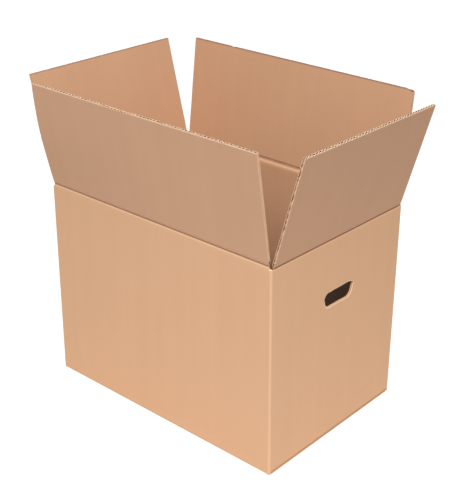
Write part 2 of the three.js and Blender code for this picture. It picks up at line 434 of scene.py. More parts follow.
class Graph:
    """A material's nodes, added one by one."""

    def __init__(self, name: str) -> None:
        """Starts a material with no nodes."""
        self.material = bpy.data.materials.new(name)
        self.material.use_nodes = True
        self.tree = self.material.node_tree
        self.tree.nodes.clear()

    def node(self, kind: str, **settings: object) -> bpy.types.Node:
        """Adds a node.

        Args:
            kind: the node's type.
            settings: a setting named like an input sets or links it; others are properties, and
                are set first.

        Returns:
            The node.
        """
        node = self.tree.nodes.new(kind)
        for name, value in settings.items():
            if name not in node.inputs:
                setattr(node, name, value)
        for name, value in settings.items():
            if name in node.inputs:
                self.join(value, node.inputs[name])
        return node

    def join(self, value: object, target: bpy.types.NodeSocket) -> None:
        """Links an output to an input, or sets the input to a constant.

        Args:
            value: the output or the constant.
            target: the input.
        """
        if isinstance(value, bpy.types.NodeSocket):
            self.tree.links.new(value, target)
        else:
            target.default_value = value

    def maths(self, operation: str, first: object, second: object = 0.0) -> bpy.types.NodeSocket:
        """Adds one operation on one or two numbers.

        Args:
            operation: the operation's name.
            first: the first number or output.
            second: the second.

        Returns:
            The result.
        """
        node = self.tree.nodes.new("ShaderNodeMath")
        node.operation = operation
        self.join(first, node.inputs[0])
        self.join(second, node.inputs[1])
        return node.outputs[0]

    def sum(self, parts: list[tuple[object, float]], base: float) -> bpy.types.NodeSocket:
        """Adds up the base and each part times its weight.

        Args:
            parts: pairs of an output and its weight.
            base: the number to start from.

        Returns:
            The result.
        """
        total: object = base
        for part, weight in parts:
            node = self.tree.nodes.new("ShaderNodeMath")
            node.operation = "MULTIPLY_ADD"
            for value, target in zip((part, weight, total), node.inputs):
                self.join(value, target)
            total = node.outputs[0]
        return total

    def noise(
        self, place: bpy.types.NodeSocket, scale: tuple[float, float, float], detail: float
    ) -> bpy.types.NodeSocket:
        """Adds noise from 0 to 1.

        Args:
            place: where on the sheet.
            scale: turns to the metre along the sheet, up it and off it.
            detail: how many finer layers it has.

        Returns:
            The noise.
        """
        stretched = self.node("ShaderNodeVectorMath", operation="MULTIPLY", Vector=place)
        stretched.inputs[1].default_value = scale
        noise = self.node("ShaderNodeTexNoise", Scale=1.0, Detail=detail, Roughness=0.55)
        self.tree.links.new(stretched.outputs["Vector"], noise.inputs["Vector"])
        return noise.outputs["Fac"]

    def mix(self, share: object, first: object, second: object) -> bpy.types.NodeSocket:
        """Mixes two colours.

        Args:
            share: how much of the second, from 0 to 1.
            first: the first colour.
            second: the second.

        Returns:
            The mix.
        """
        node = self.tree.nodes.new("ShaderNodeMix")
        node.data_type = "RGBA"
        for name, value in (("Factor_Float", share), ("A_Color", first), ("B_Color", second)):
            self.join(value, next(s for s in node.inputs if s.identifier == name))
        return next(s for s in node.outputs if s.identifier == "Result_Color")

    def surface(self, shader: bpy.types.NodeSocket) -> None:
        """Makes this the material's surface."""
        output = self.tree.nodes.new("ShaderNodeOutputMaterial")
        self.tree.links.new(shader, output.inputs["Surface"])


@dataclass(frozen=True)
class Columns:
    """The places round the box at which the walls are drawn, in order.

    outer and inner are the plan of the outer and the inner face, wall is the wall that a place
    belongs to, along its place on that wall and sheet its distance along the flat sheet. straight
    is true on a wall's straight part and false on the fold to the next wall.
    """

    outer: Array
    inner: Array
    wall: NDArray[np.int64]
    along: Array
    sheet: Array
    straight: NDArray[np.bool_]

    @property
    def short(self) -> NDArray[np.bool_]:
        """True on the two short walls."""
        return np.isin(self.wall, [Wall.RIGHT, Wall.LEFT])

    @property
    def closed_sheet(self) -> Array:
        """The distances along the flat sheet, with the first place again at the end."""
        return np.append(self.sheet, self.sheet[0] + PERIMETER)


@dataclass(frozen=True)
class HandHole:
    """A punched hand hole and the patch of wall round it.

    The hole is a slot with round ends. Its lower edge sags a little, the end that points along the
    wall is longer, and one corner is torn out.
    """

    reach: float = HOLE_WIDTH / 2 + 14.0  # half the patch's length
    rise: float = HOLE_HEIGHT / 2 + 13.0  # half its height
    step: float = 2.5
    sag: float = 0.13  # by this share the lower edge is cut lower
    rough: float = 0.09  # by up to this share the upper edge is cut higher
    rough_seed: int = 5
    corner: float = 0.21  # direction of the torn corner, in radians
    corner_reach: float = 0.14
    corner_width: float = 0.12
    end_reach: float = 0.07
    end_width: float = 0.6
    ring_share: tuple[float, ...] = (0.0, 0.03, 0.09, 0.2, 0.4, 0.68, 1.0)
    ring_sink: tuple[float, ...] = (0.55, 0.22, 0.05, 0.0, 0.0, 0.0, 0.0)
    # painted highlight along the hole's rim
    ring_painted_highlight: tuple[float, ...] = (1.0, 1.0, 0.55, 0.0, 0.0, 0.0, 0.0)
    rim_depth: tuple[float, ...] = (0.55, 0.9, 1.6, 2.5, 3.4, 4.1, 4.45)
    rim_hollow: tuple[float, ...] = (0.0, 0.15, 0.8, 1.0, 0.8, 0.15, 0.0)
    hollow_least: float = 0.025  # by this share the rim is hollow all round
    hollow_flute: float = 0.075  # and by this one more at a flute's crest
    # painted shade in the rim's hollow between the liners
    hollow_painted_shade: float = -0.2

    def frame(self) -> tuple[Array, Array]:
        """The patch's outer rectangle, walked round once from its lower left corner.

        Returns:
            Places along the wall, and heights above the hole's middle.
        """
        columns = spread((-self.reach, 0), (self.reach, self.step))
        rows = spread((HOLE_Z - self.rise, 0), (HOLE_Z + self.rise, self.step))
        left = np.full(len(rows) - 1, columns[0])
        right = np.full(len(rows) - 1, columns[-1])
        bottom = np.full(len(columns) - 1, rows[0])
        top = np.full(len(columns) - 1, rows[-1])
        a = np.concatenate([columns[:-1], right, columns[:0:-1], left])
        z = np.concatenate([bottom, rows[:-1], top, rows[:0:-1]]) - HOLE_Z
        return np.append(a, a[0]), np.append(z, z[0])

    def outline(self, a: Array, z: Array) -> tuple[Array, Array]:
        """The hole's outline, where rays from its middle to the rectangle meet it.

        A ray meets a straight edge where its height is the radius, or else a round end, where a
        root of the circle's equation tells how far out it lies. The torn corner and the long end
        are bell curves of the ray's direction.

        Args:
            a: places along the wall of the rectangle's points.
            z: their heights above the hole's middle.

        Returns:
            The same for the outline.
        """
        flat = HOLE_RADIUS / np.maximum(np.abs(z), NEAR)
        square, cross = a * a + z * z, np.abs(a) * HOLE_REACH
        root = np.sqrt(np.maximum(cross**2 - square * (HOLE_REACH**2 - HOLE_RADIUS**2), 0.0))
        scale = np.where(np.abs(a) * flat <= HOLE_REACH, flat, (cross + root) / square)
        turn = np.arctan2(z * scale, a * scale)
        longer = self.corner_reach * np.exp(-(((turn - self.corner) / self.corner_width) ** 2))
        longer = longer + self.end_reach * np.exp(-((turn / self.end_width) ** 2))
        rough = ragged(a[:-1], self.rough_seed, self.step, self.rough) * (z[:-1] > 0)
        scale = scale * (1 + longer + np.append(rough, rough[0]))
        edge_z = z * scale
        return a * scale, edge_z + np.minimum(edge_z, 0.0) * self.sag

    def add(self, surface: Surface, wall: Wall) -> None:
        """Adds the patch on both faces of a wall, and the punched rim between them.

        The patch's rings run from the outline to the rectangle and sink into the board at the
        outline. The rim is hollow between the liners, most at the crests of the flutes.

        Args:
            surface: the surface that takes the patches.
            wall: the wall that has the hole.
        """
        a, z = self.frame()
        edge_a, edge_z = self.outline(a, z)
        rings = (self.ring_share, self.ring_sink, self.ring_painted_highlight)
        share, sink, wear_and_painted_light = (np.array(ring)[:, None] for ring in rings)
        ring_a = edge_a + (a - edge_a) * share
        ring_z = edge_z + (z - edge_z) * share + HOLE_Z
        sheet = np.stack([wall.start + ring_a, ring_z], axis=-1)
        outside = wall.place(ring_a, wall.out - sink, ring_z)
        inside = wall.place(ring_a, wall.out - BOARD + sink, ring_z)
        # the rings near the outline carry the painted highlight along the rim
        surface.grid(outside, sheet, Face.OUTSIDE, wear_and_painted_light, flip=True)
        surface.grid(inside, sheet, Face.INSIDE, wear_and_painted_light)
        depth, hollow = (np.array(ring)[:, None] for ring in (self.rim_depth, self.rim_hollow))
        flutes = 0.5 + 0.5 * np.cos(2 * pi * edge_a / FLUTE)
        upright = np.abs(edge_z) / HOLE_RADIUS
        back = hollow * (self.hollow_least + self.hollow_flute * flutes * upright)
        past = (np.abs(edge_a) > HOLE_REACH) * (edge_a - np.sign(edge_a) * HOLE_REACH)
        rim_a = edge_a + past * back
        rim_z = edge_z * (1 + back) + HOLE_Z
        points = wall.place(rim_a, wall.out - depth, rim_z)
        sheet = np.stack([wall.start + rim_a, rim_z + depth], axis=-1)
        # painted shade in the rim's hollow
        surface.grid(points, sheet, Face.CUT, self.hollow_painted_shade * hollow)


@dataclass(frozen=True)
class GlueTab:
    """The glued tab inside the left wall at the rear corner, with slanted ends."""

    low: float = 14.5
    high: float = 421.5
    taper: float = 12.0  # rise of the slanted ends
    thick: float = 4.0
    width: float = 35.0
    sunk: float = 0.2  # how far it sinks into the walls, so that no gap shows
    columns: int = 7
    row_share: float = 0.04
    face_wear: float = 0.1
    rim_wear: float = 0.2

    def add(self, surface: Surface) -> None:
        """Adds the tab's two faces and its rim."""
        wall = Wall.LEFT
        near = -(wall.run - BOARD)
        across = np.linspace(0, 1, self.columns)
        a = near + self.sunk + (self.width - self.sunk) * across
        rise = self.taper * (a - a[0]) / self.width
        share = spread((0.0, 0), (1.0, self.row_share))[:, None]
        z = (self.low + rise) + (self.high - self.low - 2 * rise) * share
        sheet = np.stack([np.broadcast_to(wall.start + a, z.shape), z], axis=-1)
        depths = (BOARD - self.sunk, BOARD + self.thick)
        sides = [wall.place(a, wall.out - depth, z) for depth in depths]
        surface.grid(sides[1], sheet, Face.INSIDE, self.face_wear, flip=True)
        surface.grid(sides[0], sheet, Face.INSIDE)
        surface.rim(sides, sheet, Face.CUT, self.rim_wear)


@dataclass
class Carton:
    """The folded body: four walls, four closed bottom flaps and the glued tab.

    The outer and the inner face are drawn as a plan times a height. Round the top they dip towards
    each other to the pressed crease lines, and at the corners they end in the slots between flaps.
    """

    hand_hole: HandHole = HandHole()
    glue_tab: GlueTab = GlueTab()
    slot_depth: float = 5.0  # from the long crease down to the bottom of a corner slot
    slot_wear: float = 0.7  # of the cut edges in the slots
    post_foot: float = 0.6  # floor to the foot of a corner, between the bottom flaps
    flap_end_long: float = 285.0  # half the length of a long wall's flaps
    flap_end_short: float = 193.5  # and of a short wall's
    tip_short: float = 196.0  # depth of a short bottom flap
    meeting: tuple[float, float] = (197.5, 202.5)  # depth of the back and the front bottom flap
    end_reach: float = 5.6  # past the post's inner face a bottom flap is this much longer
    splay: float = 6.5  # how far the foot of the front right corner stands out
    seam_width: float = 0.25
    seam_depth: float = 0.5
    wall_rows: tuple[float, float] = (14.0, 423.0)  # the rows that stay level, all round
    fold_rows: tuple[float, float] = (40.0, 400.0)  # the rows are closer together beyond these
    corner_painted_light: tuple[float, float] = (0.12, -0.3)  # painted highlight on an upright fold outside, painted shade in it inside
    crease_painted_highlight: tuple[float, float] = (0.3, 0.4)  # painted highlight beside a pressed crease, the same
    foot_painted_shade: float = -0.05  # painted shade along a bottom fold
    cap_painted_shade: float = -0.2  # painted shade on a bottom flap's end
    column_step: float = 9.0  # between a wall's columns
    end_steps: tuple[float, float] = (0.4, 0.8)  # past the flaps' ends, long wall and short wall
    long_fall: float = 1.2  # past the end of a long flap the top falls over this distance
    short_fall: tuple[float, float] = (0.9, 2.5)  # and past a short one's between these two
    dip_share: tuple[float, ...] = (0.0, 0.35, 0.7, 1.0)  # of the four rows at the crease
    dip_rows: tuple[float, float] = (0.62, 0.2)  # how far below it the two middle ones lie
    foot_share: tuple[float, float] = (0.0, 0.4)  # the two rows between the foot and the wall
    flat_rows: tuple[tuple[float, float], ...] = ((8.0, 0), (24.0, 8.0))  # of a bottom flap
    flat_step: float = 34.0  # and from there to its free edge
    inner_turn: float = 1.5  # how far the inside of a bottom fold reaches
    widen: tuple[float, float] = (-0.5, 2.5)  # past the board a bottom flap widens between these
    base_rows: Array = field(init=False)
    columns: Columns = field(init=False)

    def __post_init__(self) -> None:
        """Lays out the columns and rows."""
        low, high = self.hole_rows
        self.base_rows = spread(
            (self.wall_rows[0], 0),
            (self.fold_rows[0], 8.0),
            (low, 16.0),
            (high, self.hand_hole.step),
            (self.fold_rows[1], 12.0),
            (self.wall_rows[1], 6.0),
        )
        self.columns = self.lay_columns()

    @property
    def hole_rows(self) -> tuple[float, float]:
        """The lowest and highest row of the patch round a hand hole."""
        return HOLE_Z - self.hand_hole.rise, HOLE_Z + self.hand_hole.rise

    def flap_end(self, wall: Wall) -> float:
        """Half the length of the wall's flaps."""
        return self.flap_end_short if wall.is_short else self.flap_end_long

    def along(self, wall: Wall) -> Array:
        """Places along a wall's straight part, closer together at the ends of its flaps.

        Args:
            wall: the wall.

        Returns:
            Rising distances from the wall's middle.
        """
        end, flap = wall.run - CORNER_RADIUS, self.flap_end(wall)
        if wall.is_short:
            hole = self.hand_hole
            stops = [(hole.reach, hole.step), (flap, self.column_step)]
        else:
            stops = [(flap, self.column_step), (flap + 0.6, 1.0), (flap + 1.0, 1.0)]
        half = spread((0.0, 0), *stops, (end, self.end_steps[wall.is_short]))
        return np.concatenate([-half[:0:-1], half])

    def lay_columns(self) -> Columns:
        """Walks round the box once: each wall's straight part, then the arc to the next wall.

        Returns:
            The places round the box.
        """
        outer, inner, walls, along, sheet, straight = [], [], [], [], [], []
        arc = np.linspace(0, pi / 2, 8)[1:-1]
        for wall in Wall:
            a = self.along(wall)
            soft = wall.run - BOARD - INNER_RADIUS
            near = np.interp(np.abs(a), [soft - 0.5, wall.run - CORNER_RADIUS], [soft - 0.5, soft])
            a_in = np.where(np.abs(a) > soft - 0.5, np.sign(a) * near, a)
            outer.append(wall.place(a, wall.out, 0.0)[:, :2])
            inner.append(wall.place(a_in, wall.out - BOARD, 0.0)[:, :2])
            for radius, inset, target in (
                (CORNER_RADIUS, 0.0, outer),
                (INNER_RADIUS, BOARD, inner),
            ):
                n = wall.out - inset - radius + radius * np.cos(arc)
                t = wall.run - inset - radius + radius * np.sin(arc)
                target.append(wall.place(t, n, 0.0)[:, :2])
            bend = wall.run - CORNER_RADIUS + CORNER_RADIUS * arc
            walls.append(np.full(len(a) + len(arc), int(wall)))
            along.append(np.concatenate([a, bend]))
            sheet.append(wall.start + np.concatenate([a, bend]))
            straight.append(np.concatenate([np.ones(len(a), bool), np.zeros(len(arc), bool)]))
        return Columns(
            *(np.concatenate(part) for part in (outer, inner, walls, along, sheet, straight))
        )

    def heights(self) -> tuple[Array, Array, Array, Array]:
        """The walls' top and foot, column by column.

        At a corner the top falls from the long crease to the slot's bottom just past the end of
        the long flap; the foot falls to the corner post's between the bottom flaps.

        Returns:
            The top of each column, how far its crease is pressed, and its outer and inner foot.
        """
        c = self.columns
        distance = np.abs(c.along)
        long_share = 1 - smooth(distance, self.flap_end_long, self.flap_end_long + self.long_fall)
        slot = HEIGHT - self.slot_depth
        top_long = slot + (HEIGHT - slot) * long_share
        begin, stop = (self.flap_end_short + past for past in self.short_fall)
        reach = smooth(distance, begin, stop)
        top_short = SHORT_CREASE + (slot - SHORT_CREASE) * reach
        on_short = c.short & c.straight
        on_long = ~c.short & c.straight
        top = np.where(on_short, top_short, np.where(on_long, top_long, slot))
        pressed = np.where(on_short, 1 - reach, np.where(on_long, long_share, 0.0))
        foot_out = np.where(on_short, FOLD_STEP + SHORT_FOLD_RADIUS, FOLD_RADIUS)
        foot_in = np.where(on_short, FOLD_STEP, 0.0) + BOARD
        post = 1 - pressed
        foot_out = foot_out + (self.post_foot - foot_out) * post
        foot_in = foot_in + (self.post_foot - foot_in) * post
        return top, pressed, foot_out, foot_in

    def inner_shade(self, x: Array, z: Array) -> Array:
        """Painted shade on the inner face: smoothly darker downwards, and more so on the right."""
        right = smooth(x, 0.0, RISE_WIDTH)
        down = smooth(DEEP_RISE * right - z, -DEEP_FROM, -DEEP_TO)
        return (DEEP_SHADE + CORNER_SHADE * right) * down

    def outside_hole(self, rows: Array) -> NDArray[np.bool_]:
        """Tells which cells of the walls' grid lie outside the patches round the hand holes.

        Args:
            rows: the height of each row.

        Returns:
            (rows - 1, columns) cells, true outside.
        """
        c = self.columns
        low, high = self.hole_rows
        reach = self.hand_hole.reach + NEAR
        following = np.roll(c.along, -1)
        patch_rows = (rows[:-1] >= low - NEAR) & (rows[1:] <= high + NEAR)
        patch_columns = c.short & c.straight & (c.along >= -reach)
        patch_columns &= (following <= reach) & (following > c.along)
        keep = np.ones((len(rows) - 1, len(c.along)), bool)
        keep[np.ix_(patch_rows, patch_columns)] = False
        return keep

    def skin(self, surface: Surface, inside: bool) -> tuple[Array, Array]:
        """Adds the outer or the inner face of the walls.

        Each point lies on the line from the outer to the inner plan, by a share that rises in
        four rows towards the pressed crease and, at the glued seam, by a narrow bell curve.

        Args:
            surface: the surface that takes the patch.
            inside: the inner face instead of the outer.

        Returns:
            The patch's top and bottom rows of points, for what joins on there.
        """
        c = self.columns
        top, pressed, foot_out, foot_in = self.heights()
        foot = foot_in if inside else foot_out
        ease = WALL_EASE if inside else OUTER_EASE
        share = np.array(self.dip_share)
        lower, upper = self.dip_rows
        fall = np.array([ease, lower * ease, LIP + upper * (ease - LIP), LIP])
        low = foot + (self.base_rows[0] - foot) * np.array(self.foot_share)[:, None]
        middle = np.broadcast_to(self.base_rows[:, None], (len(self.base_rows), len(top)))
        z = np.concatenate([low, middle, top - fall[:, None]])
        dip = np.zeros_like(z)
        dip[-len(share) :] = share[:, None] * pressed
        if inside:
            f = 1 - dip * (BOARD - LIP_INNER) / BOARD
        else:
            groove = np.exp(-(((c.along - (LENGTH / 2 - BOARD)) / self.seam_width) ** 2))
            seam = (c.wall == Wall.BACK) * c.straight * groove * self.seam_depth
            f = dip * LIP_OUTER / BOARD + seam
        xy = c.outer + (c.inner - c.outer) * f[..., None]
        points = np.concatenate([xy, z[..., None]], axis=-1)
        fold = np.where(c.straight, 0.0, 1.0)
        if inside:
            # painted shade in the inner corners and deep in the box
            wear_and_painted_light = self.corner_painted_light[1] * fold - self.inner_shade(xy[..., 0], z)
            # painted highlight on the inner rows beside the crease
            wear_and_painted_light[-3:-1] += self.crease_painted_highlight[1] * pressed
        else:
            # painted highlight on the outer corner folds
            wear_and_painted_light = self.corner_painted_light[0] * fold * np.ones_like(z)
            # painted highlight on the row below a long crease
            wear_and_painted_light[-3] += self.crease_painted_highlight[0] * pressed * ~c.short
        closed, worn_and_painted_light = (np.concatenate([part, part[:, :1]], axis=1) for part in (points, wear_and_painted_light))
        sheet = np.stack(np.broadcast_arrays(c.closed_sheet, closed[..., 2]), axis=-1)
        face = Face.INSIDE if inside else Face.OUTSIDE
        surface.grid(closed, sheet, face, worn_and_painted_light, self.outside_hole(z[:, 0]), flip=inside)
        return points[-1], points[0]

    def lips(self, surface: Surface, outer: Array, inner: Array) -> None:
        """Closes the walls' top edge.

        Args:
            surface: the surface that takes the patch.
            outer: the outer face's top row of points.
            inner: the inner face's top row of points.
        """
        share = np.linspace(0, 1, 4)[:, None, None]
        points = outer + (inner - outer) * share
        points = np.concatenate([points, points[:, :1]], axis=1)
        sheet = np.broadcast_arrays(self.columns.closed_sheet, points[..., 2])
        surface.grid(points, np.stack(sheet, axis=-1), Face.CUT, self.slot_wear)

    def bottom_flap(self, surface: Surface, wall: Wall, foot_out: Array, foot_in: Array) -> None:
        """Adds a closed bottom flap, from the wall's foot round its fold to the free edge.

        The section runs down the outer face, round a quarter circle, along the underside to the
        free edge, and back along the upper side; its two ends are closed.

        Args:
            surface: the surface that takes the patches.
            wall: the wall that the flap hangs from.
            foot_out: the outer face's bottom row of points, round the whole box.
            foot_in: the inner face's.
        """
        c = self.columns
        tip = self.tip_short if wall.is_short else self.meeting[wall is Wall.FRONT]
        low = wall.floor
        radius = SHORT_FOLD_RADIUS if wall.is_short else FOLD_RADIUS
        turn = np.linspace(0, pi / 2, 6)
        arc_t = radius - radius * np.cos(turn)
        arc_z = low + radius - radius * np.sin(turn)
        flat = spread(*self.flat_rows, (tip, self.flat_step))
        out_t, out_z = np.append(arc_t, flat), np.append(arc_z, np.full(len(flat), low))
        in_t = np.append(BOARD + np.linspace(0, self.inner_turn, len(turn)), flat)
        in_z = np.full(len(in_t), low + BOARD)
        depth = np.concatenate([out_t, [tip], in_t[::-1]])
        z = np.concatenate([out_z, [low + BOARD / 2], in_z[::-1]])
        end = self.flap_end(wall)
        chosen = (c.wall == wall) & (np.abs(c.along) <= end + NEAR) & c.straight
        a = c.along[chosen]
        grown = smooth(depth, *(BOARD + past for past in self.widen))[:, None]
        wide = 1 + self.end_reach / end * grown
        points = wall.place(a * wide, (wall.out - depth)[:, None], z[:, None])
        points[0], points[-1] = foot_out[chosen], foot_in[chosen]
        travel = np.concatenate([[0], np.cumsum(np.hypot(np.diff(depth), np.diff(z)))])
        sheet = np.stack(np.broadcast_arrays(wall.start + a[None, :], -travel[:, None]), axis=-1)
        split = len(out_t)
        # painted shade along the bottom fold
        wear_and_painted_light = np.where(np.arange(split) < len(turn), self.foot_painted_shade, 0.0)[:, None]
        surface.grid(points[:split], sheet[:split], Face.OUTSIDE, wear_and_painted_light, flip=True)
        edge = slice(split - 1, split + 2)
        surface.grid(points[edge], sheet[edge], Face.CUT, flip=True)
        # painted shade on the upper side of the bottom flaps, the floor of the box
        surface.grid(points[split + 1 :], sheet[split + 1 :], Face.INSIDE, -DEEP_SHADE, flip=True)
        for column, flip in ((0, False), (-1, True)):
            outside, inside = points[:split, column], points[: split : -1, column]
            cap = np.stack([outside, (outside + inside) / 2, inside])
            cap[1, -1] = points[split, column]
            place = np.stack([wall.start + cap[..., 2], cap[..., 0]], axis=-1)
            # painted shade on the flap's ends, a dark line at the foot
            surface.grid(cap, place, Face.CUT, self.cap_painted_shade, flip=flip)

    def feet(self, surface: Surface, foot_out: Array, foot_in: Array) -> None:
        """Closes the corner posts from below, between the bottom flaps.

        Args:
            surface: the surface that takes the patch.
            foot_out: the outer face's bottom row of points.
            foot_in: the inner face's.
        """
        c = self.columns
        following = np.roll(np.arange(len(c.along)), -1)
        points = np.stack([foot_out, foot_in])
        points = np.concatenate([points, points[:, :1]], axis=1)
        ends = np.array([self.flap_end(Wall(w)) for w in c.wall]) + NEAR
        held = c.straight & (np.abs(c.along) <= ends)
        keep = ~(held & held[following] & (c.wall == c.wall[following]))[None, :]
        sheet = np.stack(np.broadcast_arrays(c.closed_sheet, points[..., 2]), axis=-1)
        surface.grid(points, sheet, Face.CUT, 0.0, keep, flip=True)

    def settle(self, points: Array) -> Array:
        """Lets the foot of the front right corner stand out, as the box has settled there.

        The shift along x falls off in proportion to the height, to the way back and to the way
        left.

        Args:
            points: a patch's points.

        Returns:
            The points, moved.
        """
        x, y, z = np.moveaxis(points, -1, 0)
        share = np.clip(1 - z / SHORT_CREASE, 0.0, 1.0) * np.clip(0.5 - y / WIDTH, 0.0, 1.0)
        share = share * np.clip(2 * x / LENGTH, 0.0, 1.0)
        return points + np.stack([self.splay * share, 0.0 * y, 0.0 * z], axis=-1)

    def build(self, materials: list[bpy.types.Material]) -> bpy.types.Object:
        """Makes the body, standing for its node of the frame.

        Args:
            materials: what the outside, the inside and the cut edges are made of.

        Returns:
            The body's object.
        """
        surface = Surface("carton")
        top_out, foot_out = self.skin(surface, inside=False)
        top_in, foot_in = self.skin(surface, inside=True)
        self.lips(surface, top_out, top_in)
        for wall in (Wall.RIGHT, Wall.LEFT):
            self.hand_hole.add(surface, wall)
        for wall in Wall:
            self.bottom_flap(surface, wall, foot_out, foot_in)
        self.feet(surface, foot_out, foot_in)
        self.glue_tab.add(surface)
        surface.points = [self.settle(part) for part in surface.points]
        obj = surface.build(materials)
        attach(obj, "box_body")
        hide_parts("box_body")
        return obj


@dataclass(frozen=True)
class Nick:
    """A dent in a cut edge: its place along the edge, its width and its depth."""

    place: float
    width: float
    depth: float

    def line(self, position: Array) -> Array:
        """Its depth at each position, with a flat bottom that falls off as a fourth power."""
        return self.depth * np.exp(-(((position - self.place) / (self.width / 2)) ** 4))


@dataclass(frozen=True)
class Edge:
    """How a flap's edge was cut: the size of its roughness and its nicks.

    rough is how deep the roughness goes and step how far apart its points are. torn is how far the
    fluted sheet is torn back from the edge between the liners, teeth is how deep the edge is
    notched at each flute, and tone is how light the cut edge is where above 0, and how dark the
    painted shade along it is where below 0.
    """

    rough: float = 0.5
    step: float = 3.0
    nicks: tuple[Nick, ...] = ()
    torn: float = 0.0
    teeth: float = 0.0
    tone: float = 0.9

    def line(self, position: Array, seed: int) -> Array:
        """The sum of a rough line, a cosine at the flutes' pitch and the nicks.

        Args:
            position: places along the edge.
            seed: the rough line's seed.

        Returns:
            How far the edge falls short of its straight line at each place.
        """
        short = ragged(position, seed, self.step, self.rough)
        short = short + self.teeth * (0.5 + 0.5 * np.cos(2 * pi * position / FLUTE))
        for nick in self.nicks:
            short = short + nick.line(position)
        return short


@dataclass(frozen=True)
class Bow:
    """How a flap is bent out of its plane.

    bulge is how far it stands outwards at the share high of its depth, at the end named by side
    (-1 or 1 along the hinge), fading over the distance fade.
    """

    bulge: float = 0.0
    high: float = 0.68
    side: float = -1.0
    fade: float = 480.0
    fade_power: float = 1.3

    def out(self, along: Array, up: Array, half: float, depth: float) -> Array:
        """Half a sine wave up the flap, stretched to peak at the share high.

        Args:
            along: places along the hinge.
            up: places up the flap.
            half: half the flap's length.
            depth: the flap's depth.

        Returns:
            The distance outwards.
        """
        share = np.clip(up / depth, 0.0, 1.0)
        power = np.log(0.5) / np.log(self.high)
        near = np.clip(1 - (half - self.side * along) / self.fade, 0.0, 1.0)
        return near**self.fade_power * self.bulge * np.sin(pi * share**power)


